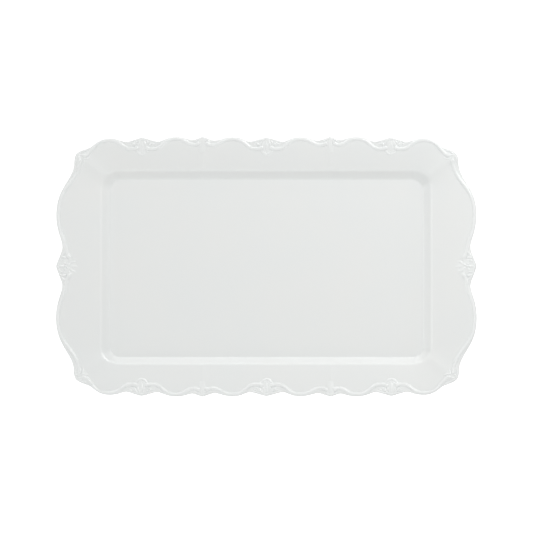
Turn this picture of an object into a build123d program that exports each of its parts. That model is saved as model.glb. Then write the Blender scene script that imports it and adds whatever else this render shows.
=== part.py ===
"""China serving platter: a rectangular glazed plate with a scalloped, relief-moulded rim.

Frame: millimetres, +Z up, +X along the length. The origin is the centre of the foot ring's base.

The platter is built as a potter would make it up. The plate itself is one shell: a flat well,
a steep cavetto wall and a wide rim that flattens towards its scalloped edge. A foot ring is luted
under the well. A cord of half-round beading follows each lobe of the rim. Sprigs, which are small
pressed reliefs, sit where the beads meet: palmettes and buds on the long sides, a rosette on each
end and a leaf on each corner.
"""

import os
from math import asin, atan2, cos, degrees, hypot, radians, sin, sqrt

from build123d import *

# Overall sizes
HALF_LENGTH = 203.0
HALF_WIDTH = 126.0
FOOT_HEIGHT = 3.0
THICKNESS = 4.4
FLOOR_TOP = FOOT_HEIGHT + THICKNESS
GROUND_DEPTH = 20.0

# Well: half sizes of the flat floor, and its corner radius
FLOOR_HALF_X = 150.8
FLOOR_HALF_Y = 85.5
FLOOR_CORNER_R = 10.0

# Cavetto and rim profile, as arcs and one straight wall, from the floor's edge outwards
FLOOR_FILLET_R = 2.5
WALL_ANGLE = radians(50)
WALL_RUN = 5.6
SHOULDER_R = 5.4
RIM_ANGLE = radians(16)
RIM_R = 180.0
PROFILE_END = 62.0

# Ends of the profile's stretches, as distances from the floor's edge
FILLET_END = FLOOR_FILLET_R * sin(WALL_ANGLE)
WALL_END = FILLET_END + WALL_RUN
SHOULDER_END = WALL_END + SHOULDER_R * (sin(WALL_ANGLE) - sin(RIM_ANGLE))

# Heights above the floor at those ends
FILLET_RISE = FLOOR_FILLET_R * (1 - cos(WALL_ANGLE))
WALL_RISE = FILLET_RISE + WALL_RUN * sin(WALL_ANGLE) / cos(WALL_ANGLE)
SHOULDER_RISE = WALL_RISE + SHOULDER_R * (cos(RIM_ANGLE) - cos(WALL_ANGLE))

# Rim edge
EDGE_ROUND_TOP = 1.0
EDGE_ROUND_BELOW = 1.2

# Ribs that run over the rim to the small sprigs and the corners
RIB_R = 2.1
RIB_HEIGHT = 0.45
SIDE_RIB_END = 29.0
CORNER_RIB_END = 34.0

# Foot ring
FOOT_INSET = 5.0
FOOT_WIDTH_TOP = 7.0
FOOT_WIDTH_BASE = 4.0
FOOT_ROUND = 0.9

# Beading
BEAD_R = 1.25
BEAD_STEPS = 4
BEAD_END_SHARE = 0.3

# Clearance under what is luted on, as thick as the slip that holds it
SEAT_GAP = 0.03

# Sprigs: places along the long side, and reach of each kind's tip from the floor's edge
LARGE_STEP = 120.5
SMALL_AT = 61.8
LARGE_TIP = 125.4 - FLOOR_HALF_Y
SMALL_TIP = HALF_WIDTH - FLOOR_HALF_Y
END_TIP = HALF_LENGTH - FLOOR_HALF_X
PAD_HEIGHT = 0.6
FLOWER_PETALS = 5
FLOWER_R = 2.7

# The corner's nub, its heading from the floor's corner and its reach
NUB = (183.6, 109.6)

CORNER_X = FLOOR_HALF_X - FLOOR_CORNER_R
CORNER_Y = FLOOR_HALF_Y - FLOOR_CORNER_R
CORNER_ANGLE = degrees(atan2(NUB[1] - CORNER_Y, NUB[0] - CORNER_X))
CORNER_REACH = hypot(NUB[0] - CORNER_X, NUB[1] - CORNER_Y) - FLOOR_CORNER_R

# Signs of x and y in the four quarters
QUARTERS = [(1, 1), (-1, 1), (-1, -1), (1, -1)]


# Shape of the upper surface


def well_distance(x, y):
    """Distance outwards from the floor's edge, in plan. It is negative over the floor."""
    across, along = abs(x) - CORNER_X, abs(y) - CORNER_Y
    outside = hypot(max(across, 0.0), max(along, 0.0))
    return outside + min(max(across, along), 0.0) - FLOOR_CORNER_R


def rise(d):
    """Height of the upper surface above the floor, at distance d from the floor's edge."""
    if d <= 0:
        return 0.0
    if d <= FILLET_END:
        return FLOOR_FILLET_R - sqrt(FLOOR_FILLET_R**2 - d**2)
    if d <= WALL_END:
        return FILLET_RISE + (d - FILLET_END) * sin(WALL_ANGLE) / cos(WALL_ANGLE)
    if d <= SHOULDER_END:
        lean = sin(WALL_ANGLE) - (d - WALL_END) / SHOULDER_R
        return WALL_RISE + SHOULDER_R * (sqrt(1 - lean**2) - cos(WALL_ANGLE))
    lean = sin(RIM_ANGLE) - (d - SHOULDER_END) / RIM_R
    return SHOULDER_RISE + RIM_R * (sqrt(1 - lean**2) - cos(RIM_ANGLE))


def surface_z(x, y):
    return FLOOR_TOP + rise(well_distance(x, y))


# Plan curves: each station is (x, y, heading in degrees, handle share)

# Silhouette of one quarter, from the middle of the long side round to the middle of the end.
# Tips and notches take short handles, so they stay crisp; lobes take long ones, so they are broad.
TIP, NOTCH, LOBE = 0.14, 0.22, 0.52
OUTLINE = [
    (0.0, 125.5, 0, TIP),
    (15.9, 121.7, 0, NOTCH),
    (32.2, 125.7, 0, LOBE),
    (49.9, 122.6, 0, NOTCH),
    (SMALL_AT, HALF_WIDTH, 0, TIP),
    (71.2, 123.2, 0, NOTCH),
    (87.2, 125.9, 0, LOBE),
    (105.2, 121.7, 0, NOTCH),
    (LARGE_STEP, 125.4, 0, TIP),
    (135.3, 121.4, 0, NOTCH),
    (151.6, 124.4, 0, LOBE),
    (171.4, 115.4, -22, NOTCH),
    (*NUB, -47, 0.3),
    (186.2, 97.0, -79, 0.3),
    (HALF_LENGTH, 50.0, -90, LOBE),
    (197.1, 18.6, -90, NOTCH),
    (HALF_LENGTH, 0.0, -90, TIP),
]

# Crest lines of one quarter's beads, each from one sprig to the next
BEAD = 0.38
BEADS = [
    [
        (4.8, 115.4, -35, BEAD),
        (10.6, 114.4, 0, BEAD),
        (32.2, 123.9, 0, LOBE),
        (52.6, 118.2, 0, BEAD),
        (57.4, 119.6, 35, BEAD),
    ],
    [
        (66.2, 119.6, -35, BEAD),
        (70.2, 118.4, 0, BEAD),
        (87.2, 124.1, 0, LOBE),
        (109.9, 114.4, 0, BEAD),
        (115.7, 115.4, 35, BEAD),
    ],
    [
        (125.3, 115.4, -35, BEAD),
        (131.1, 114.4, 0, BEAD),
        (151.6, 122.6, 0, LOBE),
        (171.0, 111.2, -46, BEAD),
        (176.2, 107.8, 2, BEAD),
    ],
    [
        (180.2, 102.8, -105, BEAD),
        (180.5, 98.7, -78, BEAD),
        (201.1, 50.0, -90, LOBE),
        (193.2, 16.0, -96, BEAD),
        (190.4, 8.8, -118, BEAD),
    ],
]


def cubic_points(start, end):
    """The four control points of the cubic that joins two stations."""
    (x0, y0, heading0, share0), (x1, y1, heading1, share1) = start, end
    chord = hypot(x1 - x0, y1 - y0)
    return [
        (x0, y0),
        (x0 + share0 * chord * cos(radians(heading0)), y0 + share0 * chord * sin(radians(heading0))),
        (x1 - share1 * chord * cos(radians(heading1)), y1 - share1 * chord * sin(radians(heading1))),
        (x1, y1),
    ]


def cubic_at(control, t):
    weights = ((1 - t) ** 3, 3 * t * (1 - t) ** 2, 3 * t**2 * (1 - t), t**3)
    return tuple(sum(w * p[i] for w, p in zip(weights, control)) for i in (0, 1))


def curve_points(stations, steps=6):
    """Points along the cubics through the stations."""
    points = [stations[0][:2]]
    for start, end in zip(stations, stations[1:]):
        control = cubic_points(start, end)
        points += [cubic_at(control, (i + 1) / steps) for i in range(steps)]
    return points


def outline_face():
    """The whole silhouette in plan."""
    edges = []
    for sx in (1, -1):
        for sy in (1, -1):
            for start, end in zip(OUTLINE, OUTLINE[1:]):
                control = [(sx * x, sy * y) for x, y in cubic_points(start, end)]
                edges.append(Bezier(*control))
    return Face(Wire(edges))


# The plate


def slope(d):
    """Angle of the upper surface at distance d from the floor's edge."""
    if d <= 0:
        return 0.0
    if d <= FILLET_END:
        return asin(d / FLOOR_FILLET_R)
    if d <= WALL_END:
        return WALL_ANGLE
    if d <= SHOULDER_END:
        return asin(sin(WALL_ANGLE) - (d - WALL_END) / SHOULDER_R)
    return asin(sin(RIM_ANGLE) - (d - SHOULDER_END) / RIM_R)


def profile_point(d, depth):
    """Point at a depth square to the upper surface, in the plane of distance and height."""
    lean = slope(d)
    return (d + depth * sin(lean), FLOOR_TOP + rise(d) - depth * cos(lean))


def profile(depth):
    """Edges of the upper surface, or of the surface at a depth under it, from the inside out."""
    joints = [0.0, FILLET_END, WALL_END, SHOULDER_END, PROFILE_END]
    edges = [Line(profile_point(-FLOOR_CORNER_R, depth), profile_point(0.0, depth))]
    for near, far in zip(joints, joints[1:]):
        ends = profile_point(near, depth), profile_point(far, depth)
        middle = profile_point((near + far) / 2, depth)
        edges.append(Line(*ends) if near == FILLET_END else ThreePointArc(ends[0], middle, ends[1]))
    return edges


def closed_section(top, bottom):
    """Face between two chains of edges that both run outwards."""
    inner = Line(top[0] @ 0, bottom[0] @ 0)
    outer = Line(top[-1] @ 1, bottom[-1] @ 1)
    return Face(Wire([*top, outer, *bottom, inner]))


def ring_of(section):
    """Carries a section, drawn in distance and height, round the floor's rounded rectangle."""
    pieces = []
    upright = Plane(origin=(0, 0, 0), x_dir=(1, 0, 0), z_dir=(0, -1, 0))
    standing = upright * section
    for turn, half_run, half_reach in ((0, CORNER_Y, CORNER_X), (90, CORNER_X, CORNER_Y)):
        moved = Pos(half_reach + FLOOR_CORNER_R, 0, 0) * standing
        straight = extrude(moved, amount=half_run, dir=(0, 1, 0), both=True)
        pieces += [Rot(0, 0, turn) * straight, Rot(0, 0, turn + 180) * straight]
    corner = revolve(Pos(FLOOR_CORNER_R, 0, 0) * standing, Axis.Z, 90)
    for quarter, (sx, sy) in enumerate(QUARTERS):
        pieces.append(Pos(sx * CORNER_X, sy * CORNER_Y, 0) * Rot(0, 0, 90 * quarter) * corner)
    return pieces[0].fuse(*pieces[1:])


def core_block(low, high):
    return Pos(0, 0, low) * Box(
        2 * CORNER_X, 2 * CORNER_Y, high - low, align=(Align.CENTER, Align.CENTER, Align.MIN)
    )


def corner_heading(sx, sy):
    """Heading of the ray from a floor corner to its nub, in one quarter."""
    return sy * (CORNER_ANGLE if sx > 0 else 180 - CORNER_ANGLE)


def rib(across, along, heading, far):
    """A fine raised fold that runs outwards over the rim from the shoulder to its sprig."""
    near = SHOULDER_END - 0.4
    crest = [profile_point(d, RIB_R - RIB_HEIGHT) for d in (near, (near + far) / 2, far)]
    path = ThreePointArc(*[(d + FLOOR_CORNER_R, 0, z) for d, z in crest])
    section = Plane(origin=path @ 0, z_dir=path % 0) * Circle(RIB_R)
    return Pos(across, along, 0) * Rot(0, 0, heading) * sweep(section, path=path)


def plate():
    """The shell of the platter, with its ribs, cut to the scalloped outline and rounded there."""
    shell = ring_of(closed_section(profile(0.0), profile(THICKNESS)))
    shell += core_block(FOOT_HEIGHT, FLOOR_TOP)
    for sx, sy in QUARTERS:
        shell += rib(sx * SMALL_AT, sy * CORNER_Y, 90 * sy, SIDE_RIB_END)
        shell += rib(sx * CORNER_X, sy * CORNER_Y, corner_heading(sx, sy), CORNER_RIB_END)
    trimmed = (shell & extrude(outline_face(), amount=4 * GROUND_DEPTH, both=True)).solid()
    trimmed = trimmed.fillet(EDGE_ROUND_BELOW, edge_loop(trimmed, THICKNESS))
    return trimmed.fillet(EDGE_ROUND_TOP, edge_loop(trimmed, 0.0))


def edge_loop(solid, depth):
    """Edges of the scalloped rim wall that lie at a vertical depth under the upper surface."""
    found = []
    for wall in solid.faces():
        if abs(wall.normal_at().Z) > 0.02 or wall.center().Z < FLOOR_TOP:
            continue
        for edge in wall.edges():
            low, middle, high = edge @ 0, edge @ 0.5, edge @ 1
            upright = abs(high.Z - low.Z) > 0.8 * edge.length
            if not upright and abs(surface_z(middle.X, middle.Y) - middle.Z - depth) < 1.0:
                found.append(edge)
    return found


def foot_ring():
    """The unglazed ring that the platter stands on, narrowing to its rounded base."""
    half_x, half_y = FLOOR_HALF_X - FOOT_INSET, FLOOR_HALF_Y - FOOT_INSET
    radius = FLOOR_CORNER_R - FOOT_INSET + FOOT_WIDTH_TOP
    lean = (FOOT_WIDTH_TOP - FOOT_WIDTH_BASE) / 2

    def block(inset, low_inset):
        """A rounded rectangle that tapers from its top down to the base."""
        top = RectangleRounded(2 * (half_x - inset), 2 * (half_y - inset), radius - inset)
        base = RectangleRounded(
            2 * (half_x - low_inset), 2 * (half_y - low_inset), radius - low_inset
        )
        return loft([Pos(0, 0, FOOT_HEIGHT) * top, base], ruled=True)

    outer = block(0.0, lean)
    inner = block(FOOT_WIDTH_TOP, FOOT_WIDTH_TOP - lean)
    ring = (outer - inner).solid()
    base_edges = ring.faces().sort_by(Axis.Z)[0].edges()
    return ring.fillet(FOOT_ROUND, base_edges)


# Beading and sprigs, luted on to the plate


def bead(stations):
    """A half-round cord that follows a crest line over the plate and fades out at both ends."""
    line = curve_points(stations, BEAD_STEPS)
    last = len(line) - 1
    sections = []
    for i, (x, y) in enumerate(line):
        ahead, behind = line[min(i + 1, last)], line[max(i - 1, 0)]
        heading = atan2(ahead[1] - behind[1], ahead[0] - behind[0])
        width = BEAD_R * min(1.0, BEAD_END_SHARE + min(i, last - i) / BEAD_STEPS)
        side = (-sin(heading) * width, cos(heading) * width)
        toes = [(x + k * side[0], y + k * side[1]) for k in (-1, 1)]
        left, right = [(u, v, surface_z(u, v) + SEAT_GAP) for u, v in toes]
        crest = (x, y, surface_z(x, y) + SEAT_GAP + width)
        sections.append(Face(Wire([ThreePointArc(left, crest, right), Line(right, left)])))
    return loft(sections)


# Sprigs are drawn on a stretch of rim: x runs along the edge and y outwards from the floor's edge


class Stretch:
    """A stretch of rim for a sprig to sit on: straight, or round a corner of the well."""

    def __init__(self, is_corner):
        self.is_corner = is_corner
        top = profile(-SEAT_GAP)
        start, end = top[0] @ 0, top[-1] @ 1
        bottom = [Line((start.X, -GROUND_DEPTH), (end.X, -GROUND_DEPTH))]
        across = Plane(origin=(0, 0, 0), x_dir=(0, 1, 0), z_dir=(1, 0, 0))
        section = across * closed_section(top, bottom)
        if is_corner:
            ring = revolve(Pos(0, FLOOR_CORNER_R, 0) * section, Axis.Z)
            self.ground = Pos(0, -FLOOR_CORNER_R, 0) * ring
        else:
            self.ground = extrude(section, amount=GROUND_DEPTH, both=True)

    def height(self, x, y):
        d = hypot(x, y + FLOOR_CORNER_R) - FLOOR_CORNER_R if self.is_corner else y
        return FLOOR_TOP + rise(d)


def petal(stretch, x, y, heading, half_length, radius, height):
    """A leaf or petal: a long round form whose back stands a height above the rim."""
    arc = EllipticalCenterArc((0, 0), half_length, radius, 0, arc_size=180)
    form = revolve(Face(Wire([arc, Line(arc @ 1, arc @ 0)])), Axis.X)
    return Pos(x, y, stretch.height(x, y) + height - radius) * Rot(0, 0, heading) * form


def sprig(stretch, tip, outline, petals):
    """A pad that follows the rim, with petals on it. The outline and the petals are placed from
    the sprig's tip, so their y is negative. A petal is (x, y, heading, half length, radius, height)."""
    points = [(x, tip + y) for x, y in outline]
    footprint = extrude(make_face(Polyline(*points, close=True)), amount=2 * GROUND_DEPTH)
    pad = footprint & (Pos(0, 0, PAD_HEIGHT) * stretch.ground)
    forms = [petal(stretch, x, tip + y, *shape) for x, y, *shape in petals]
    return (pad.fuse(*forms) - stretch.ground).solid()


def mirrored(points):
    """The points, then their mirror images across x = 0 in reverse, for a symmetric outline."""
    return points + [(-x, y) for x, y in reversed(points) if x]


def pair(x, y, heading, *shape):
    """A petal and its mirror image across x = 0."""
    return [(x, y, heading, *shape), (-x, y, 180 - heading, *shape)]


def palmette(stretch):
    """Large sprig of the long sides: a hooded palmette with a berry at each side."""
    outline = [(0, -1.2), (6.0, -2.8), (13.0, -4.8), (10.0, -8.4), (5.0, -8.2), (3.2, -9.6)]
    outline += [(3.2, -11.4), (5.6, -12.4), (4.6, -14.2), (0, -17.0)]
    petals = [
        (0, -8.2, 90, 4.6, 1.5, 1.9),
        (0, -3.0, 0, 2.6, 1.2, 1.4),
        *pair(3.2, -6.9, 75, 2.6, 1.1, 1.5),
        *pair(7.6, -6.6, 0, 1.3, 1.3, 1.7),
        *pair(9.9, -5.0, -20, 2.8, 0.9, 1.1),
        *pair(5.2, -4.2, -15, 2.2, 1.0, 1.3),
        *pair(2.6, -14.3, -42, 3.3, 1.0, 1.5),
    ]
    return sprig(stretch, LARGE_TIP, mirrored(outline), petals)


def bud(stretch):
    """Small sprig of the long sides: a plain tongue between two bead ends."""
    outline = [(0, -1.2), (3.2, -2.8), (5.6, -4.2), (3.4, -7.6), (2.4, -10.2), (0, -11.6)]
    petals = [
        (0, -6.2, 90, 4.9, 1.9, 1.4),
        (0, -2.9, 0, 2.8, 1.0, 1.1),
        *pair(3.4, -4.8, -55, 1.9, 0.9, 1.0),
    ]
    return sprig(stretch, SMALL_TIP, mirrored(outline), petals)


def rosette(stretch):
    """Sprig of the ends: a five-petalled flower between two buds, over three leaves."""
    outline = [(0, -1.2), (7.0, -3.6), (13.6, -6.8), (11.2, -9.4), (6.6, -12.0), (5.6, -17.0)]
    outline += [(2.6, -19.8), (0, -20.4)]
    petals = [
        (0, -9.2, 0, 1.5, 1.4, 2.1),
        (0, -4.3, 0, 1.9, 1.1, 1.3),
        (0, -16.4, 90, 3.1, 1.2, 1.5),
        *pair(3.6, -15.6, 62, 2.9, 1.1, 1.4),
        *pair(8.4, -7.1, 90, 2.5, 1.3, 1.7),
        *pair(5.0, -5.4, 80, 2.0, 0.9, 1.2),
        *pair(11.2, -7.6, -28, 1.9, 0.9, 1.0),
    ]
    for turn in range(FLOWER_PETALS):
        heading = 90 + turn * 360 / FLOWER_PETALS
        x, y = FLOWER_R * cos(radians(heading)), FLOWER_R * sin(radians(heading)) - 9.2
        petals.append((x, y, heading, 1.8, 1.2, 1.5))
    return sprig(stretch, END_TIP, mirrored(outline), petals)


def corner_leaf(stretch):
    """Sprig of a corner: a tongue that ends at the nub, with a small scroll at each side."""
    outline = [(0, -1.4), (4.4, -3.0), (7.6, -4.4), (6.6, -6.2), (3.4, -5.4), (1.7, -6.0)]
    outline += [(1.7, -9.2), (0, -10.4)]
    petals = [
        (0, -5.8, 90, 4.0, 1.3, 1.6),
        *pair(3.0, -3.2, -25, 2.3, 0.9, 1.3),
        *pair(5.8, -4.9, 0, 1.1, 1.1, 1.3),
    ]
    return sprig(stretch, CORNER_REACH, mirrored(outline), petals)


# Assembly


def beads_of(lines, signs):
    """The given crest lines, each with its mirror images in the quarters of the given signs."""
    cords = []
    for stations in lines:
        cord = bead(stations)
        for sx, sy in signs:
            turned = cord if sx > 0 else mirror(cord, about=Plane.YZ)
            cords.append(turned if sy > 0 else mirror(turned, about=Plane.XZ))
    return Compound(children=cords)


def build_parts():
    """Every separate piece in its place, by name."""
    parts = {"platter_body": plate(), "foot_ring": foot_ring()}

    *side_lines, end_line = BEADS
    parts["rim_bead_back"] = beads_of(side_lines, [(1, 1), (-1, 1)])
    parts["rim_bead_front"] = beads_of(side_lines, [(1, -1), (-1, -1)])
    parts["rim_bead_right"] = beads_of([end_line], [(1, 1), (1, -1)])
    parts["rim_bead_left"] = beads_of([end_line], [(-1, 1), (-1, -1)])

    straight, corner = Stretch(is_corner=False), Stretch(is_corner=True)
    large, small, flower, leaf = palmette(straight), bud(straight), rosette(straight), corner_leaf(corner)
    for side, sy in (("back", 1), ("front", -1)):
        turn = Rot(0, 0, 0 if sy > 0 else 180)
        for hand, step in (("left", -1), ("middle", 0), ("right", 1)):
            place = Pos(step * LARGE_STEP, sy * FLOOR_HALF_Y, 0)
            parts[f"palmette_{side}_{hand}"] = place * turn * large
        for hand, sx in (("left", -1), ("right", 1)):
            place = Pos(sx * SMALL_AT, sy * FLOOR_HALF_Y, 0)
            parts[f"bud_{side}_{hand}"] = place * turn * small
            outwards = Rot(0, 0, corner_heading(sx, sy) - 90) * Pos(0, FLOOR_CORNER_R, 0)
            parts[f"leaf_{side}_{hand}"] = Pos(sx * CORNER_X, sy * CORNER_Y, 0) * outwards * leaf
    parts["rosette_right"] = Pos(FLOOR_HALF_X, 0, 0) * Rot(0, 0, -90) * flower
    parts["rosette_left"] = Pos(-FLOOR_HALF_X, 0, 0) * Rot(0, 0, 90) * flower
    return parts


os.makedirs("parts", exist_ok=True)
for name, shape in build_parts().items():
    export_step(shape, f"parts/{name}.step")
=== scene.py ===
"""Looks of a white china serving platter: a glazed plate whose scalloped rim carries beads and sprigs.

Shapes are worked out in millimetres and made into meshes in metres. The frame is the CAD's: +X along
the length, +Y across the width and +Z up, from the middle of the foot ring's base.
"""

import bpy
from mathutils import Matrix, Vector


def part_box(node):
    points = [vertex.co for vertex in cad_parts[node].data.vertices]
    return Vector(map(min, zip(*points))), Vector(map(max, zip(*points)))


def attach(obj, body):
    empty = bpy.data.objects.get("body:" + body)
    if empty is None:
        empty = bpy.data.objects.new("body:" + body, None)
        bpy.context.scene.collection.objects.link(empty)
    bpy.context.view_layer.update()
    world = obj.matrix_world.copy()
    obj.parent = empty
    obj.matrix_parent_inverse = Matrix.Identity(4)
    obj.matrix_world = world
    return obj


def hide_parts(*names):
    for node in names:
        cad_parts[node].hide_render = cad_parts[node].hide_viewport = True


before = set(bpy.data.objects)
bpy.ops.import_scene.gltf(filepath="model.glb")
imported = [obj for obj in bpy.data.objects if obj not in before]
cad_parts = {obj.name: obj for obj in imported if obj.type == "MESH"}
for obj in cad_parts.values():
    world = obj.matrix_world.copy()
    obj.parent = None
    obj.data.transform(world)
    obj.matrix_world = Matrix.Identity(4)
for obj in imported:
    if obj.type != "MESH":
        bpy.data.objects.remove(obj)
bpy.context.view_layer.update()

from math import atan2, ceil, cos, hypot, pi, radians, sin, tan

import bpy
import numpy as np
from mathutils import Vector

MM = 0.001

# Stand-ins for a place far from every line, and for no relief
FAR, FAR_BELOW = 1e3, -9.0

# Plate: sizes that the CAD fixes
PLATE_LOW, PLATE_HIGH = (np.array(corner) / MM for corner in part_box("platter_body"))
HALF_LENGTH, HALF_WIDTH = PLATE_HIGH[:2]
FOOT_HEIGHT = PLATE_LOW[2]
THICKNESS = 4.4
FLOOR_TOP = FOOT_HEIGHT + THICKNESS

# Well and rim profile, as stretches from the floor's edge outwards
FLOOR_HALF_X, FLOOR_HALF_Y, FLOOR_CORNER_R = 150.8, 85.5, 10.0
FLOOR_FILLET_R, SHOULDER_R, RIM_R = 2.5, 5.4, 180.0
WALL_ANGLE, RIM_ANGLE = radians(50), radians(16)
WALL_RUN = 5.6
FILLET_END = FLOOR_FILLET_R * sin(WALL_ANGLE)
WALL_END = FILLET_END + WALL_RUN
SHOULDER_END = WALL_END + SHOULDER_R * (sin(WALL_ANGLE) - sin(RIM_ANGLE))
PROFILE_END = 62.0
CORNER_X, CORNER_Y = FLOOR_HALF_X - FLOOR_CORNER_R, FLOOR_HALF_Y - FLOOR_CORNER_R

# Rim edge: its two roundings, and the band along it whose points keep square to the edge
EDGE_ROUND_TOP, EDGE_ROUND_BELOW = 1.0, 1.2
EDGE_BAND = 1.4

# Folds on the rim, each a sum of bells of (height, half width)
SIDE_FOLD = ((0.3, 2.6), (0.12, 6.0))
CORNER_FOLD = ((0.25, 3.0), (0.6, 6.5))

# Foot ring: inset from the floor's edge, plan radius of its corners, width at the top, how far each
# side leans in and is rounded at the base, and how deep the ring is set into the plate
FOOT_INSET, FOOT_CORNER_R, FOOT_WIDTH, FOOT_LEAN, FOOT_ROUND = 5.0, 12.0, 7.0, 1.5, 0.6
FOOT_EMBED = 0.3

# Beading: cord radius and height, half width with its toe, swell of the knobs and their length
BEAD_R, BEAD_HEIGHT, BEAD_TOE = 1.85, 1.3, 2.8
KNOB_SWELL_R, KNOB_SWELL_HEIGHT, KNOB_LENGTH = 0.22, 0.28, 3.4

# How the reliefs meet the plate and each other: rounding at the foot and in the creases, sinking of
# their upper side, and depth of their hidden skirt
GLAZE_FILLET, CREASE_BLEND, SEAT, SKIRT = 0.2, 0.25, 0.03, 0.4

# How far a bead reaches into a sprig's patch, how far outside it a bead still shapes the sprig, the
# bare strip along the plate's edge, the squareness of a sprig's ridges and the cells of its grid
OVERLAP, NEARBY, EDGE_GAP, RIDGE_POWER, GRID = 1.5, 2.5, 0.05, 1.3, 0.22

# Glaze colours
GLAZE_WHITE = (0.735, 0.752, 0.744, 1)
GLAZE_WARM = (0.745, 0.755, 0.742, 1)
# Painted light: a lighter white laid into hollows to offset their shade, and over part of the reliefs as a
# highlight
PAINTED_LIGHT_WHITE = (0.775, 0.792, 0.784, 1)
GLAZE_SPECK = (0.62, 0.60, 0.56, 1)
# Painted shade: the grey laid into tight creases and where the glaze is seen edge on
PAINTED_SHADE_GREY = (0.43, 0.46, 0.455, 1)

# Widths of the hollows that are painted lighter, offsetting their shade, and of the creases that are
# painted grey as shade
LIGHTENED_HOLLOW_REACH, CREASE_REACH = 10.0, 3.0

# Bare clay of the standing edge, and the height above the base where the glaze starts
CLAY_PALE, CLAY_DARK = (0.70, 0.67, 0.61, 1), (0.61, 0.57, 0.50, 1)
CLAY_WORN = (0.50, 0.46, 0.40, 1)
GLAZE_LINE = 0.8

# Sprig places
LARGE_STEP, SMALL_AT = 120.5, 61.8
NUB = (183.6, 109.6)
CORNER_ANGLE = atan2(NUB[1] - CORNER_Y, NUB[0] - CORNER_X)

# Silhouette of one quarter: x, y, heading in degrees, share of the chord that the handle takes
TIP, NOTCH, LOBE, BEAD = 0.14, 0.22, 0.52, 0.38
OUTLINE = [
    (0.0, 125.5, 0, TIP),
    (15.9, 121.7, 0, NOTCH),
    (32.2, 125.7, 0, LOBE),
    (49.9, 122.6, 0, NOTCH),
    (SMALL_AT, HALF_WIDTH, 0, TIP),
    (71.2, 123.2, 0, NOTCH),
    (87.2, 125.9, 0, LOBE),
    (105.2, 121.7, 0, NOTCH),
    (LARGE_STEP, 125.4, 0, TIP),
    (135.3, 121.4, 0, NOTCH),
    (151.6, 124.4, 0, LOBE),
    (171.4, 115.4, -22, NOTCH),
    (*NUB, -47, 0.3),
    (186.2, 97.0, -79, 0.3),
    (HALF_LENGTH, 50.0, -90, LOBE),
    (197.1, 18.6, -90, NOTCH),
    (HALF_LENGTH, 0.0, -90, TIP),
]

# Crest lines of one quarter's beads, each from one sprig to the next
BEADS = {
    "back_inner": [
        (4.8, 115.4, -35, BEAD),
        (10.6, 114.4, 0, BEAD),
        (32.2, 123.9, 0, LOBE),
        (52.6, 118.2, 0, BEAD),
        (57.4, 119.6, 35, BEAD),
    ],
    "back_middle": [
        (66.2, 119.6, -35, BEAD),
        (70.2, 118.4, 0, BEAD),
        (87.2, 124.1, 0, LOBE),
        (109.9, 114.4, 0, BEAD),
        (115.7, 115.4, 35, BEAD),
    ],
    "back_outer": [
        (125.3, 115.4, -35, BEAD),
        (131.1, 114.4, 0, BEAD),
        (151.6, 122.6, 0, LOBE),
        (171.0, 111.2, -46, BEAD),
        (176.2, 107.8, 2, BEAD),
    ],
    "end": [
        (180.2, 102.8, -105, BEAD),
        (180.5, 98.7, -78, BEAD),
        (201.1, 50.0, -90, LOBE),
        (193.2, 16.0, -96, BEAD),
        (190.4, 8.8, -118, BEAD),
    ],
}


# Shape of the plate's upper surface


def well_distance(x, y):
    """Distance outwards from the floor's edge, in plan. It is negative over the floor."""
    across, along = np.abs(x) - CORNER_X, np.abs(y) - CORNER_Y
    outside = np.hypot(np.maximum(across, 0), np.maximum(along, 0))
    return outside + np.minimum(np.maximum(across, along), 0) - FLOOR_CORNER_R


def rise(d):
    """Height of the upper surface above the floor, at distance d outwards from the floor's edge."""
    on_fillet = np.clip(d, 0, FILLET_END)
    on_wall = np.clip(d, FILLET_END, WALL_END) - FILLET_END
    on_shoulder = np.clip(d, WALL_END, SHOULDER_END) - WALL_END
    on_rim = np.maximum(d, SHOULDER_END) - SHOULDER_END
    height = FLOOR_FILLET_R - np.sqrt(FLOOR_FILLET_R**2 - on_fillet**2)
    height = height + on_wall * tan(WALL_ANGLE)
    for run, radius, angle in ((on_shoulder, SHOULDER_R, WALL_ANGLE), (on_rim, RIM_R, RIM_ANGLE)):
        lean = sin(angle) - run / radius
        height = height + radius * (np.sqrt(1 - lean**2) - cos(angle))
    return height


def smoothstep(x, low, high):
    t = np.clip((x - low) / (high - low), 0, 1)
    return t * t * (3 - 2 * t)


def fold(gap, bells):
    """Height of a rounded fold at a distance from its crest line."""
    return sum(height * np.exp(-((gap / half_width) ** 2)) for height, half_width in bells)


def relief(x, y):
    """Height of the folds that run over the rim to the small sprigs and to the corners."""
    x, y = np.abs(x), np.abs(y)
    d = well_distance(x, y)
    rim = smoothstep(d, WALL_END - 1.5, SHOULDER_END + 3)
    side_gap = np.where(y > CORNER_Y, np.abs(x - SMALL_AT), FAR)
    out_x, out_y = x - CORNER_X, y - CORNER_Y
    ahead = out_x * cos(CORNER_ANGLE) + out_y * sin(CORNER_ANGLE)
    corner_gap = out_x * sin(CORNER_ANGLE) - out_y * cos(CORNER_ANGLE)
    return rim * (fold(side_gap, SIDE_FOLD) + np.where(ahead > 0, fold(corner_gap, CORNER_FOLD), 0))


def top_height(x, y):
    """Height of the upper surface, before the edge's rounding."""
    return FLOOR_TOP + rise(well_distance(x, y)) + relief(x, y)


def edge_drop(inwards):
    """How far the rounding lowers the upper surface, at a distance inwards from the edge."""
    run = EDGE_ROUND_TOP - np.clip(inwards, 0, EDGE_ROUND_TOP)
    return EDGE_ROUND_TOP - np.sqrt(EDGE_ROUND_TOP**2 - run**2)


# Plan curves, and the spacings of points on the edge, round the plate's rings and along the beads

EDGE_SPACING, RING_SPACING, BEAD_SPACING = 0.5, 1.25, 0.45


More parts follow.
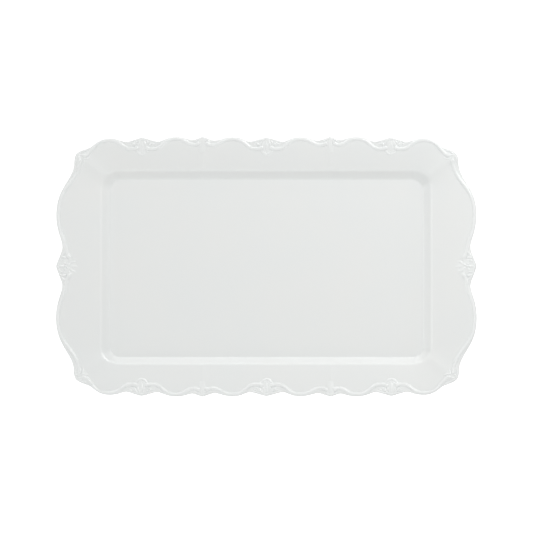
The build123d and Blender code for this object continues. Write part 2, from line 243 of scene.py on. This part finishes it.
def cubic_chain(stations, spacing):
    """Points along the cubics through the stations, about a spacing apart."""
    points = []
    for (x0, y0, heading0, share0), (x1, y1, heading1, share1) in zip(stations, stations[1:]):
        chord = hypot(x1 - x0, y1 - y0)
        turn0, turn1 = radians(heading0), radians(heading1)
        a, d = np.array([x0, y0]), np.array([x1, y1])
        b = a + share0 * chord * np.array([cos(turn0), sin(turn0)])
        c = d - share1 * chord * np.array([cos(turn1), sin(turn1)])
        count = max(4, ceil(chord / spacing))
        t = (np.arange(count) / count)[:, None]
        points.append((1 - t) ** 3 * a + 3 * t * (1 - t) ** 2 * b + 3 * t**2 * (1 - t) * c + t**3 * d)
    points.append(np.array([stations[-1][:2]]))
    return np.concatenate(points)


def whole_outline(spacing):
    """The closed silhouette, clockwise from the middle of the back edge."""
    quarter = cubic_chain(OUTLINE, spacing)
    right = np.concatenate([quarter, (quarter * [1, -1])[-2::-1]])
    return np.concatenate([right, (right * [-1, 1])[-2:0:-1]])


EDGE = whole_outline(EDGE_SPACING)


def edge_distance(x, y):
    """Distance inwards from the scalloped edge, for points that lie close together."""
    near = (np.abs(EDGE[:, 0] - x.mean()) < np.ptp(x) + 8) & (np.abs(EDGE[:, 1] - y.mean()) < np.ptp(y) + 8)
    starts, steps = EDGE[near], (np.roll(EDGE, -1, axis=0) - EDGE)[near]
    best = np.full(x.shape, FAR)
    for (x0, y0), (dx, dy) in zip(starts, steps):
        t = np.clip(((x - x0) * dx + (y - y0) * dy) / (dx * dx + dy * dy), 0, 1)
        miss_x, miss_y = x - x0 - t * dx, y - y0 - t * dy
        gap = np.hypot(miss_x, miss_y)
        gap = np.where(miss_x * dy - miss_y * dx > 0, gap, -gap)
        best = np.where(np.abs(gap) < np.abs(best), gap, best)
    return best


# Meshes


def finish_mesh(name, vertices, faces, material):
    """A smooth-shaded object from millimetre vertices and quads or triangles."""
    mesh = bpy.data.meshes.new(name)
    mesh.from_pydata((np.asarray(vertices) * MM).tolist(), [], faces)
    mesh.polygons.foreach_set("use_smooth", [True] * len(mesh.polygons))
    mesh.materials.append(material)
    mesh.update()
    piece = bpy.data.objects.new(name, mesh)
    bpy.context.scene.collection.objects.link(piece)
    return piece


def ring_faces(rings, around):
    """Quads between successive rings of points, closed the long way round."""
    ring = np.arange(rings - 1)[:, None] * around
    here = np.arange(around)[None]
    after = (here + 1) % around
    quads = np.stack([ring + here, ring + after, ring + around + after, ring + around + here], axis=-1)
    return quads.reshape(-1, 4).tolist()


def add_piece(piece, slot, *nodes):
    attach(piece, "root")
    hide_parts(*nodes)


# Plate


def floor_edge(points):
    """The nearest points of the floor's edge, and the directions outwards from there."""
    core = np.clip(points, [-CORNER_X, -CORNER_Y], [CORNER_X, CORNER_Y])
    outwards = points - core
    outwards = outwards / np.linalg.norm(outwards, axis=1)[:, None]
    return core + outwards * FLOOR_CORNER_R, outwards


def under_height(s):
    """Height of the underside at plan distance s from the floor's edge: the wall thickness below."""
    d = np.linspace(-12, PROFILE_END, 1500)
    top = rise(d)
    lean = np.arctan(np.gradient(top, d))
    return np.interp(s, d + THICKNESS * np.sin(lean), FLOOR_TOP + top - THICKNESS * np.cos(lean))


def plate(material):
    """The plate as one skin of rings, from the middle of the floor over the rim to the underside."""
    outer = whole_outline(RING_SPACING)
    ahead = np.roll(outer, -1, axis=0) - np.roll(outer, 1, axis=0)
    inwards = np.stack([ahead[:, 1], -ahead[:, 0]], axis=1) / np.linalg.norm(ahead, axis=1)[:, None]
    band = outer + inwards * EDGE_BAND
    start, outwards = floor_edge(band)
    reach = well_distance(band[:, 0], band[:, 1])
    rings = []

    def add(plan, z):
        rings.append(np.column_stack([plan, np.broadcast_to(z, len(plan))]))

    for share in (0.04, 0.16, 0.3, 0.45, 0.6, 0.73, 0.84, 0.92, 0.97):
        add(start * share, FLOOR_TOP)
    profile = [*np.linspace(0, FILLET_END, 6), *np.linspace(FILLET_END, WALL_END, 5)[1:]]
    profile += list(np.linspace(WALL_END, SHOULDER_END, 9)[1:])
    for d in profile:
        plan = start + outwards * d
        add(plan, top_height(*plan.T))
    for share in np.linspace(0, 1, 25)[1:]:
        plan = start + outwards * (SHOULDER_END + share * (reach - SHOULDER_END))[:, None]
        add(plan, top_height(*plan.T))
    for turn in np.linspace(0, 90, 8):
        inset = EDGE_ROUND_TOP * (1 - sin(radians(turn)))
        plan = outer + inwards * inset
        add(plan, top_height(*plan.T) - edge_drop(inset))
    low = under_height(well_distance(*outer.T))
    for turn in np.linspace(0, 90, 6):
        inset = EDGE_ROUND_BELOW * (1 - cos(radians(turn)))
        plan = outer + inwards * inset
        add(plan, low + EDGE_ROUND_BELOW * (1 - sin(radians(turn))))
    bend = SHOULDER_END + 2
    for share in np.linspace(1, 0, 12)[1:]:
        s = bend + share * (reach - bend)
        add(start + outwards * s[:, None], under_height(s))
    for s in np.arange(12.0, -2.0, -1.0):
        add(start + outwards * s, under_height(s))
    for share in (0.92, 0.75, 0.5, 0.25, 0.04):
        add(start * share, FOOT_HEIGHT)

    around = len(outer)
    faces = ring_faces(len(rings), around)
    vertices = np.concatenate([*rings, [[0, 0, FLOOR_TOP], [0, 0, FOOT_HEIGHT]]])
    top_centre, base_centre = len(vertices) - 2, len(vertices) - 1
    last = (len(rings) - 1) * around
    for i in range(around):
        j = (i + 1) % around
        faces.append([top_centre, j, i])
        faces.append([base_centre, last + i, last + j])
    add_piece(finish_mesh("glazed_plate", vertices, faces, material), "white_glaze", "platter_body")


# Foot ring


def foot_section():
    """Half of the ring's section, as (inset, height): down the side and round on to the base."""
    side = FOOT_LEAN * FOOT_ROUND / hypot(FOOT_LEAN, FOOT_HEIGHT)
    drop = FOOT_HEIGHT * FOOT_ROUND / hypot(FOOT_LEAN, FOOT_HEIGHT)
    points = [(0.0, FOOT_HEIGHT + FOOT_EMBED), (0.0, FOOT_HEIGHT)]
    for t in np.linspace(0, 1, 6):
        inset = FOOT_LEAN - (1 - t) ** 2 * side + t**2 * FOOT_ROUND
        points.append((inset, (1 - t) ** 2 * drop))
    return points


def foot_ring(material):
    """The ring that the plate stands on, with its rounded and unglazed base."""
    core_x = FLOOR_HALF_X - FOOT_INSET - FOOT_CORNER_R
    core_y = FLOOR_HALF_Y - FOOT_INSET - FOOT_CORNER_R
    steps = 17
    turns = np.concatenate([np.linspace(start, start + 90, steps) for start in (0, 90, 180, 270)])
    outwards = np.column_stack([np.cos(np.radians(turns)), np.sin(np.radians(turns))])
    signs = np.repeat([(1, 1), (-1, 1), (-1, -1), (1, -1)], steps, axis=0)
    core = signs * [core_x, core_y]
    half = foot_section()
    section = half + [(FOOT_WIDTH - inset, z) for inset, z in reversed(half)]
    rings = [
        np.column_stack([core + outwards * (FOOT_CORNER_R - inset), np.full(len(core), z)])
        for inset, z in section
    ]
    total = len(rings) * len(core)
    faces = [[index % total for index in face] for face in ring_faces(len(rings) + 1, len(core))]
    piece = finish_mesh("standing_ring", np.concatenate(rings), faces, material)
    add_piece(piece, "unglazed_foot", "foot_ring")


# Materials


class Shader:
    """A node material under construction."""

    def __init__(self, name):
        self.material = bpy.data.materials.new(name)
        self.material.use_nodes = True
        self.tree = self.material.node_tree
        self.surface = self.tree.nodes["Principled BSDF"]
        self.place = self.node("ShaderNodeTexCoord").outputs["Object"]

    def node(self, kind, **settings):
        """A node with its inputs or its properties set. An input may be another node's output."""
        made = self.tree.nodes.new(kind)
        for name, value in settings.items():
            key = name.replace("_", " ")
            if key in made.inputs:
                self.feed(made.inputs[key], value)
            else:
                setattr(made, name, value)
        return made

    def feed(self, socket, value):
        if isinstance(value, bpy.types.NodeSocket):
            self.tree.links.new(value, socket)
        else:
            socket.default_value = value

    def noise(self, size_mm, detail=2.0, roughness=0.5):
        """Noise whose grains are about size_mm across."""
        scale = 1 / (size_mm * MM)
        grain = {"Vector": self.place, "Scale": scale, "Detail": detail, "Roughness": roughness}
        return self.node("ShaderNodeTexNoise", **grain).outputs["Fac"]

    def ramp(self, value, low, high, to_low=0.0, to_high=1.0):
        """The value taken from one range to another and held at its ends."""
        ends = {"From_Min": low, "From_Max": high, "To_Min": to_low, "To_Max": to_high}
        return self.node("ShaderNodeMapRange", Value=value, **ends).outputs["Result"]

    def mix(self, share, first, second):
        """A colour between two. Sockets 6 and 7 are the node's colours, and its output 2 their mix."""
        made = self.node("ShaderNodeMix", data_type="RGBA")
        self.feed(made.inputs["Factor"], share)
        self.feed(made.inputs[6], first)
        self.feed(made.inputs[7], second)
        return made.outputs[2]

    def occlusion(self, reach_mm):
        """How open the place is: 1 in the open, and less in a hollow about reach_mm wide."""
        return self.node("ShaderNodeAmbientOcclusion", Distance=reach_mm * MM, samples=8).outputs["AO"]

    def turned_away(self):
        """0 where the surface faces the eye, and 1 where it is seen edge on."""
        return self.node("ShaderNodeLayerWeight", Blend=0.5).outputs["Facing"]

    def bump(self, height, depth_mm, below=None):
        """A normal for waves of this height, over another bump's normal if there is one."""
        made = self.node("ShaderNodeBump", Height=height, Distance=depth_mm * MM)
        if below is not None:
            self.feed(made.inputs["Normal"], below)
        return made.outputs["Normal"]

    def coat(self, **inputs):
        """Give the surface its inputs."""
        for name, value in inputs.items():
            self.feed(self.surface.inputs[name.replace("_", " ")], value)


def glaze_material(name, crease_shade_share, open_light_share=0.0):
    """Glossy white glaze, with clouds, specks and orange peel. Light and shade are painted into its colour:
    it is lighter in the hollows, offsetting their shade, and over the given share elsewhere as a painted
    highlight; it is greyer where it is seen edge on, as painted shade, and by the given share in tight
    creases, as painted crease shade."""
    shader = Shader(name)
    cloud = shader.ramp(shader.noise(55, 3.0), 0.3, 0.7)
    body = shader.mix(cloud, GLAZE_WHITE, GLAZE_WARM)
    # Painted light: lighter in the hollows, offsetting their shade, and by the given share in the open as a
    # highlight
    painted_light = shader.ramp(shader.occlusion(LIGHTENED_HOLLOW_REACH), 0.75, 1.0, 1.0, open_light_share)
    body = shader.mix(painted_light, body, PAINTED_LIGHT_WHITE)
    # Painted shade: grey in tight creases
    shaded_crease = shader.ramp(shader.occlusion(CREASE_REACH), 0.45, 0.95, crease_shade_share, 0.0)
    body = shader.mix(shaded_crease, body, PAINTED_SHADE_GREY)
    # Painted shade: grey where the surface is seen edge on, darkening the silhouette
    edge_on_shade = shader.ramp(shader.turned_away(), 0.5, 0.85, 0.0, 0.4)
    body = shader.mix(edge_on_shade, body, PAINTED_SHADE_GREY)
    speck = shader.ramp(shader.noise(0.9, 0.0), 0.83, 0.87, 0.0, 0.35)
    body = shader.mix(speck, body, GLAZE_SPECK)
    swell = shader.bump(shader.noise(26, 1.0), 0.05)
    peel = shader.bump(shader.noise(2.4, 1.0), 0.003, below=swell)
    shader.coat(
        Base_Color=body,
        Roughness=shader.ramp(shader.noise(7), 0.3, 0.7, 0.3, 0.38),
        Coat_Weight=0.9,
        Coat_Roughness=shader.ramp(shader.noise(18), 0.3, 0.7, 0.04, 0.09),
        Normal=peel,
        Coat_Normal=peel,
    )
    return shader.material


def foot_material(name):
    """Bare, sanded clay on the standing edge, with glaze above an uneven line on both sides."""
    shader = Shader(name)
    height = shader.node("ShaderNodeSeparateXYZ", Vector=shader.place).outputs["Z"]
    wander = shader.ramp(shader.noise(9), 0.3, 0.7, -0.25 * MM, 0.25 * MM)
    level = shader.node("ShaderNodeMath", operation="ADD")
    shader.feed(level.inputs[0], height)
    shader.feed(level.inputs[1], wander)
    glazed = shader.ramp(level.outputs[0], GLAZE_LINE * MM, (GLAZE_LINE + 0.15) * MM)
    clay = shader.mix(shader.ramp(shader.noise(1.1, 4.0), 0.35, 0.65), CLAY_PALE, CLAY_DARK)
    grime = shader.ramp(shader.noise(22, 3.0), 0.55, 0.8, 0.0, 0.5)
    clay = shader.mix(grime, clay, CLAY_WORN)
    shader.coat(
        Base_Color=shader.mix(glazed, clay, GLAZE_WHITE),
        Roughness=shader.ramp(glazed, 0, 1, 0.85, 0.33),
        Coat_Weight=shader.ramp(glazed, 0, 1, 0.0, 0.9),
        Normal=shader.bump(shader.noise(0.35, 3.0), 0.05),
    )
    return shader.material


# Reliefs: ridges along lines, merged into one field of heights


def curve(points, steps=6):
    """Smooth line through the points."""
    p = np.array([points[0], *points, points[-1]], dtype=float)
    t = (np.arange(steps) / steps)[:, None]
    spans = []
    for a, b, c, d in zip(p, p[1:], p[2:], p[3:]):
        bend = (2 * a - 5 * b + 4 * c - d) * t**2 + (3 * b - a - 3 * c + d) * t**3
        spans.append(b + 0.5 * ((c - a) * t + bend))
    return np.concatenate([*spans, p[-1:]])


def ridge(x, y, line, radius, height):
    """Height of a rounded ridge along a line. It carries on below zero outside the ridge."""
    radius = np.broadcast_to(radius, len(line))
    height = np.broadcast_to(height, len(line))
    best = np.full(x.shape, FAR_BELOW)
    for k in range(len(line) - 1):
        (x0, y0), (dx, dy) = line[k], line[k + 1] - line[k]
        t = np.clip(((x - x0) * dx + (y - y0) * dy) / max(dx * dx + dy * dy, 1e-9), 0, 1)
        r = radius[k] + (radius[k + 1] - radius[k]) * t
        h = height[k] + (height[k + 1] - height[k]) * t
        away = ((x - x0 - t * dx) ** 2 + (y - y0 - t * dy) ** 2) / r**2
        best = np.maximum(best, h * (1 - away**RIDGE_POWER))
    return best


def merge(a, b):
    """The higher of two fields, with the crease between them rounded."""
    t = np.clip(0.5 + 0.5 * (a - b) / CREASE_BLEND, 0, 1)
    return b + (a - b) * t + CREASE_BLEND * t * (1 - t)


def soften(field):
    """A field of heights above the plate whose foot runs out smoothly on to it."""
    return 0.5 * (field + np.sqrt(field**2 + GLAZE_FILLET**2))


# Beads


def bead_lines():
    """Crest lines of the beads by CAD node, each in its place round the platter."""
    found = {"back": [], "front": [], "left": [], "right": []}
    for kind, stations in BEADS.items():
        line = cubic_chain(stations, BEAD_SPACING)
        for sx in (1, -1):
            for sy in (1, -1):
                side = ("back" if sy > 0 else "front") if kind != "end" else ("right" if sx > 0 else "left")
                found[side].append(line * [sx, sy])
    return found


def bead_sizes(line):
    """Radius and height of the cord along its line: it swells into a knob at both ends."""
    step = np.hypot(*np.diff(line, axis=0).T)
    along = np.concatenate([[0], np.cumsum(step)])
    knob = 1 - smoothstep(np.minimum(along, along[-1] - along), 0.4, KNOB_LENGTH)
    return BEAD_R * (1 + KNOB_SWELL_R * knob), BEAD_HEIGHT * (1 + KNOB_SWELL_HEIGHT * knob)


def strip(line, sprigs):
    """One bead as a closed strip over the rim, from just inside one sprig to just inside the next."""
    depth = np.max([sprig.depth_inside(line) for sprig in sprigs], axis=0)
    radius, height = bead_sizes(line)
    kept = depth < OVERLAP
    line, depth, radius, height = line[kept], depth[kept], radius[kept], height[kept]
    heading = np.gradient(line, axis=0)
    heading = heading / np.linalg.norm(heading, axis=1)[:, None]
    side = np.stack([-heading[:, 1], heading[:, 0]], axis=1)
    toe = np.minimum(BEAD_TOE, edge_distance(*line.T) - EDGE_GAP)
    offsets = toe[:, None] * np.sin(np.linspace(-pi / 2, pi / 2, 15))
    plan = line[:, None] + side[:, None] * offsets[..., None]
    x, y = plan[..., 0], plan[..., 1]
    inwards = edge_distance(x, y)
    base = top_height(x, y) - edge_drop(inwards)
    lift = soften(height[:, None] * (1 - (offsets / radius[:, None]) ** 2)) * edge_fade(inwards)
    top = base + lift - SEAT - 0.06 * smoothstep(depth, 0, 1)[:, None]
    upper = np.stack([x, y, top], axis=-1)
    lower = np.stack([x, y, base - SKIRT], axis=-1)[:, ::-1]
    loops = np.concatenate([upper, lower], axis=1)
    around, last = loops.shape[1], (len(loops) - 1) * loops.shape[1]
    faces = ring_faces(len(loops), around)
    faces += [list(range(around))[::-1], list(range(last, last + around))]
    return loops.reshape(-1, 3), faces


def edge_fade(inwards):
    """Reliefs fade out over the rounding of the edge, so the silhouette stays the plate's own."""
    return smoothstep(inwards, EDGE_GAP, 0.75)


# Sprigs. Each stroke is a smooth line of (along, outwards) points from the sprig's tip, then its radii
# and its heights at the start, the middle and the end. A stroke off the middle line has a mirror image.

PALMETTE = [
    ([(0, -6.5), (0, -8.5)], (6.5, 7.5, 5.5), (0.30, 0.50, 0.30)),
    ([(0, -3.4), (0, -7.5), (0, -12.0)], (1.0, 1.9, 1.1), (0.6, 1.05, 0.6)),
    ([(1.9, -3.2), (3.3, -6.0), (3.7, -9.0)], (0.8, 1.3, 0.7), (0.6, 1.0, 0.6)),
    ([(3.8, -3.0), (5.6, -4.9), (6.3, -7.2)], (0.7, 1.2, 0.7), (0.55, 0.9, 0.5)),
    ([(7.9, -6.7), (8.1, -6.5)], (1.6, 1.6, 1.6), (1.15, 1.15, 1.15)),
    ([(0, -16.4), (2.7, -15.2), (5.8, -12.5)], (0.9, 1.5, 0.6), (0.4, 0.65, 0.3)),
    ([(0, -13.9), (1.9, -13.2), (3.7, -11.8)], (0.6, 0.9, 0.5), (0.3, 0.45, 0.25)),
    ([(-3.2, -2.4), (0, -1.5), (3.2, -2.4)], (0.8, 1.1, 0.8), (0.6, 0.9, 0.6)),
    ([(3.3, -2.2), (8.2, -2.9), (13.8, -4.6)], (0.8, 1.1, 0.5), (0.65, 0.75, 0.25)),
    ([(6.3, -4.7), (9.3, -5.1), (12.4, -6.6)], (0.6, 0.9, 0.4), (0.45, 0.6, 0.2)),
]
BUD = [
    ([(0, -12.6), (0, -7.5), (0, -3.2)], (2.2, 3.4, 3.0), (0.18, 0.5, 0.55)),
    ([(0, -9.5), (0, -6.5), (0, -3.4)], (1.4, 1.6, 1.2), (0.3, 0.75, 0.75)),
    ([(2.6, -3.6), (3.2, -5.6), (2.6, -8.4)], (0.7, 1.0, 0.6), (0.55, 0.65, 0.3)),
    ([(-2.2, -2.0), (0, -1.4), (2.2, -2.0)], (0.7, 1.0, 0.7), (0.6, 0.8, 0.6)),
    ([(1.8, -1.9), (4.2, -2.8), (7.0, -4.8)], (0.7, 1.0, 0.5), (0.6, 0.7, 0.25)),
]
ROSETTE = [
    ([(0, -8.0), (0, -13.0)], (8.0, 7.0, 4.5), (0.30, 0.40, 0.20)),
    ([(0, -9.1), (0, -9.3)], (1.4, 1.4, 1.4), (1.45, 1.45, 1.45)),
    ([(0, -4.4), (0, -4.8)], (1.5, 1.5, 1.5), (0.95, 0.95, 0.95)),
    ([(0, -13.4), (0, -16.2), (0, -19.6)], (0.9, 1.6, 0.7), (0.45, 0.65, 0.2)),
    ([(2.0, -13.0), (4.0, -15.2), (4.8, -18.0)], (0.7, 1.35, 0.6), (0.4, 0.6, 0.2)),
    ([(3.8, -12.0), (6.4, -13.0), (7.8, -15.0)], (0.6, 1.15, 0.5), (0.35, 0.5, 0.15)),
    ([(8.4, -9.2), (8.7, -7.1), (8.4, -5.0)], (0.9, 1.5, 0.9), (0.75, 1.15, 0.75)),
    ([(4.9, -3.8), (5.7, -6.0), (5.3, -8.4)], (0.6, 1.05, 0.7), (0.5, 0.85, 0.55)),
    ([(-4.4, -3.2), (0, -1.6), (4.4, -3.2)], (0.7, 1.05, 0.7), (0.55, 0.8, 0.55)),
    ([(4.2, -2.6), (8.6, -3.9), (12.2, -6.2)], (0.7, 1.0, 0.5), (0.55, 0.7, 0.3)),
    ([(9.8, -5.2), (12.2, -6.9), (15.2, -9.4)], (0.6, 1.0, 0.4), (0.5, 0.65, 0.2)),
]
CORNER_LEAF = [
    ([(0, -4.5), (0, -6.5)], (5.5, 5.5, 4.0), (0.25, 0.35, 0.2)),
    ([(3.2, -6.9), (1.9, -4.9), (0.7, -2.5)], (1.2, 1.1, 0.8), (1.1, 1.0, 0.7)),
    ([(4.2, -12.2), (1.6, -10.0), (0, -7.6)], (0.5, 1.0, 1.1), (0.25, 0.65, 0.8)),
    ([(2.6, -2.3), (5.6, -3.4), (8.4, -5.2)], (0.7, 1.1, 0.6), (0.6, 0.85, 0.35)),
    ([(4.6, -5.2), (6.2, -6.4), (8.6, -8.0)], (0.6, 0.8, 0.5), (0.5, 0.6, 0.3)),
]
FLOWER_CENTRE, FLOWER_PETALS = -9.2, 5


def mirrored(strokes):
    """The strokes with the mirror images of those that lie to one side."""
    both = []
    for points, radii, heights in strokes:
        both.append((points, radii, heights))
        middle = all(along == 0 for along, _ in points)
        if not middle and points[0][0] != -points[-1][0]:
            both.append(([(-along, out) for along, out in points], radii, heights))
    return both


def flower():
    """Petals round the middle of the rosette."""
    petals = []
    for k in range(FLOWER_PETALS):
        turn = pi / 2 + k * 2 * pi / FLOWER_PETALS
        line = [(r * cos(turn), FLOWER_CENTRE + r * sin(turn)) for r in (1.5, 2.7, 3.9)]
        petals.append((line, (0.8, 1.45, 1.0), (0.6, 1.0, 0.6)))
    return petals


class Sprig:
    """A relief in its place: its tip, the heading outwards from the plate, and its patch's size."""

    def __init__(self, node, tip, heading, strokes, half_width, depth):
        self.node, self.strokes = node, strokes
        self.tip = np.array(tip)
        self.outwards = np.array([cos(heading), sin(heading)])
        self.along = np.array([sin(heading), -cos(heading)])
        self.half_width, self.depth = half_width, depth

    def depth_inside(self, line):
        """How far points of a line lie inside the patch. It is negative outside."""
        along, out = (line - self.tip) @ self.along, (line - self.tip) @ self.outwards
        return np.minimum(self.half_width - np.abs(along), out + self.depth)

    def field(self, along, out, x, y, lines):
        """Heights of the sprig, with the ends of the beads that run into it."""
        total = np.full(along.shape, FAR_BELOW)
        for points, radii, heights in self.strokes:
            line = curve(points)
            share = np.linspace(0, 2, len(line))
            radius, height = np.interp(share, (0, 1, 2), radii), np.interp(share, (0, 1, 2), heights)
            total = merge(ridge(along, out, line, radius, height), total)
        for line in lines:
            near = self.depth_inside(line) > -NEARBY
            if near.any():
                radius, height = bead_sizes(line)
                total = merge(ridge(x, y, line[near], radius[near], height[near]), total)
        return soften(total)

    def mesh(self, lines):
        """The sprig as a closed solid on a fine grid, with its skirt hidden in the plate."""
        grid_along = np.arange(-self.half_width, self.half_width + GRID / 2, GRID)
        grid_out = np.arange(-self.depth, 0.4, GRID)
        along, out = np.meshgrid(grid_along, grid_out)
        plan = self.tip + along[..., None] * self.along + out[..., None] * self.outwards
        x, y = plan[..., 0], plan[..., 1]
        inwards = edge_distance(x, y)
        lift = self.field(along, out, x, y, lines) * edge_fade(inwards)
        base = top_height(x, y) - edge_drop(inwards)
        return patch(x, y, base + lift - SEAT, base - SKIRT, lift > 0.02, inwards > 0)


def patch(x, y, top, bottom, shown, inside):
    """Closed solid between two height fields, over the cells with a shown corner and none outside."""
    cell = shown[:-1, :-1] | shown[1:, :-1] | shown[1:, 1:] | shown[:-1, 1:]
    cell &= inside[:-1, :-1] & inside[1:, :-1] & inside[1:, 1:] & inside[:-1, 1:]
    rows, columns = x.shape
    number = np.arange(rows * columns).reshape(rows, columns)
    quads = np.stack([number[:-1, :-1], number[:-1, 1:], number[1:, 1:], number[1:, :-1]], axis=-1)[cell]
    used, quads = np.unique(quads, return_inverse=True)
    quads = quads.reshape(-1, 4)
    edges = np.concatenate([quads[:, [k, (k + 1) % 4]] for k in range(4)])
    forward = {tuple(edge) for edge in edges.tolist()}
    rim = [(a, b) for a, b in forward if (b, a) not in forward]
    count = len(used)
    plan = np.stack([x.ravel()[used], y.ravel()[used]], axis=1)
    upper = np.column_stack([plan, top.ravel()[used]])
    lower = np.column_stack([plan, bottom.ravel()[used]])
    faces = quads.tolist() + (quads[:, ::-1] + count).tolist()
    faces += [[b, a, a + count, b + count] for a, b in sorted(rim)]
    return np.concatenate([upper, lower]), faces


def all_sprigs():
    sprigs = []
    for side, sy in (("back", 1), ("front", -1)):
        for hand, step, reach in (("left", -1, 125.4), ("middle", 0, 125.5), ("right", 1, 125.4)):
            tip = (step * LARGE_STEP, sy * reach)
            node = f"palmette_{side}_{hand}"
            sprigs.append(Sprig(node, tip, sy * pi / 2, mirrored(PALMETTE), 15.5, 18.6))
        for hand, sx in (("left", -1), ("right", 1)):
            tip = (sx * SMALL_AT, sy * HALF_WIDTH)
            sprigs.append(Sprig(f"bud_{side}_{hand}", tip, sy * pi / 2, mirrored(BUD), 8.6, 14.6))
            tip = (sx * NUB[0], sy * NUB[1])
            heading = sy * (CORNER_ANGLE if sx > 0 else pi - CORNER_ANGLE)
            sprigs.append(Sprig(f"leaf_{side}_{hand}", tip, heading, mirrored(CORNER_LEAF), 13.5, 12.6))
    for hand, sx in (("left", -1), ("right", 1)):
        heading = 0 if sx > 0 else pi
        strokes = mirrored(ROSETTE) + flower()
        sprigs.append(Sprig(f"rosette_{hand}", (sx * HALF_LENGTH, 0), heading, strokes, 17.5, 22.6))
    return sprigs


def reliefs(bead_material, sprig_material):
    """Each side's beads as one piece, and every sprig as its own piece."""
    sprigs, lines = all_sprigs(), bead_lines()
    for side, beads in lines.items():
        vertices, faces = [], []
        for line in beads:
            strip_vertices, strip_faces = strip(line, sprigs)
            count = sum(len(placed) for placed in vertices)
            vertices.append(strip_vertices)
            faces += [[index + count for index in face] for face in strip_faces]
        piece = finish_mesh(f"glazed_bead_{side}", np.concatenate(vertices), faces, bead_material)
        add_piece(piece, "glazed_relief", f"rim_bead_{side}")
    every_line = [line for beads in lines.values() for line in beads]
    for sprig in sprigs:
        vertices, faces = sprig.mesh(every_line)
        piece = finish_mesh(f"glazed_{sprig.node}", vertices, faces, sprig_material)
        add_piece(piece, "glazed_relief", sprig.node)


plate(glaze_material("plate_glaze", 0.1))
foot_ring(foot_material("foot_clay"))
# The shares give each glaze's painted crease shade and its painted light in the open
reliefs(glaze_material("bead_glaze", 0.9, 0.7), glaze_material("sprig_glaze", 0.35, 0.5))


# Stage, in metres

FLOOR_WHITE, FLOOR_GLOW, FLOOR_SPAN = (0.78, 0.78, 0.78, 1), 0.7, 80.0
STUDIO_LIGHT = 0.653
LENS, SENSOR_WIDTH, CAMERA_DISTANCE, CAMERA_ELEVATION = 500, 36, 7.154, radians(83.7)
CAMERA_AIM = Vector((0.0001, 0.0006, 0.016))


def make_floor():
    """A plain white floor, lit from below like a light table: it glows upwards, but not sideways."""
    shader = Shader("floor_white")
    glow = shader.ramp(shader.turned_away(), 0.05, 0.5, FLOOR_GLOW, 0.0)
    shader.coat(Base_Color=FLOOR_WHITE, Roughness=0.9, Emission_Color=(1, 1, 1, 1), Emission_Strength=glow)
    half = FLOOR_SPAN / 2
    mesh = bpy.data.meshes.new("floor")
    corners = [(-half, -half, 0), (half, -half, 0), (half, half, 0), (-half, half, 0)]
    mesh.from_pydata(corners, [], [(0, 1, 2, 3)])
    mesh.materials.append(shader.material)
    floor = bpy.data.objects.new("floor", mesh)
    bpy.context.scene.collection.objects.link(floor)
    return floor


def all_but(thing):
    """A light-linking collection: a light that uses it lights everything except the thing."""
    unlit = bpy.data.collections.new("unlit")
    unlit.objects.link(thing)
    unlit.collection_objects[0].light_linking.link_state = "EXCLUDE"
    return unlit


def softbox(name, place, size, watts, reaches=None):
    """A rectangular light aimed at the plate. With a collection to reach, it is a shadowless fill."""
    light = bpy.data.lights.new(name, "AREA")
    light.shape = "RECTANGLE"
    light.size, light.size_y = size
    light.energy = watts
    light.use_shadow = reaches is None
    lamp = bpy.data.objects.new(name, light)
    lamp.light_linking.receiver_collection = reaches
    lamp.location = place
    lamp.rotation_euler = (-Vector(place)).to_track_quat("-Z", "Y").to_euler()
    bpy.context.scene.collection.objects.link(lamp)


def make_lights():
    """Even light from all round, two soft keys, and fills that only lighten the china."""
    world = bpy.data.worlds.new("studio")
    world.use_nodes = True
    world.node_tree.nodes["Background"].inputs["Color"].default_value = (1, 1, 1, 1)
    world.node_tree.nodes["Background"].inputs["Strength"].default_value = STUDIO_LIGHT
    bpy.context.scene.world = world
    softbox("key_near", (0.0, -2.6, 3.0), (5.0, 2.2), 14.6)
    softbox("key_right", (3.6, 0.0, 1.3), (2.2, 6.0), 19.0)
    china = all_but(make_floor())
    softbox("fill_near", (0.0, -3.6, 1.3), (6.0, 2.2), 32.3, china)
    softbox("fill_left", (-3.6, 0.0, 1.1), (2.2, 6.0), 42.0, china)
    softbox("fill_far_left", (-2.0, 2.4, 1.1), (2.4, 1.6), 7.0, china)
    softbox("fill_far", (0.0, 2.4, 0.45), (2.4, 0.6), 11.0, china)
    softbox("fill_above", (0.55, 0.65, 0.55), (0.5, 0.5), 3.15, china)


def make_camera():
    data = bpy.data.cameras.new("camera")
    data.lens, data.sensor_width, data.clip_end = LENS, SENSOR_WIDTH, FLOOR_SPAN
    camera = bpy.data.objects.new("camera", data)
    towards = Vector((0, -cos(CAMERA_ELEVATION), sin(CAMERA_ELEVATION)))
    camera.location = CAMERA_AIM + CAMERA_DISTANCE * towards
    camera.rotation_euler = (-towards).to_track_quat("-Z", "Y").to_euler()
    bpy.context.scene.collection.objects.link(camera)
    bpy.context.scene.camera = camera
    bpy.context.scene.view_settings.view_transform = "Standard"


make_lights()
make_camera()
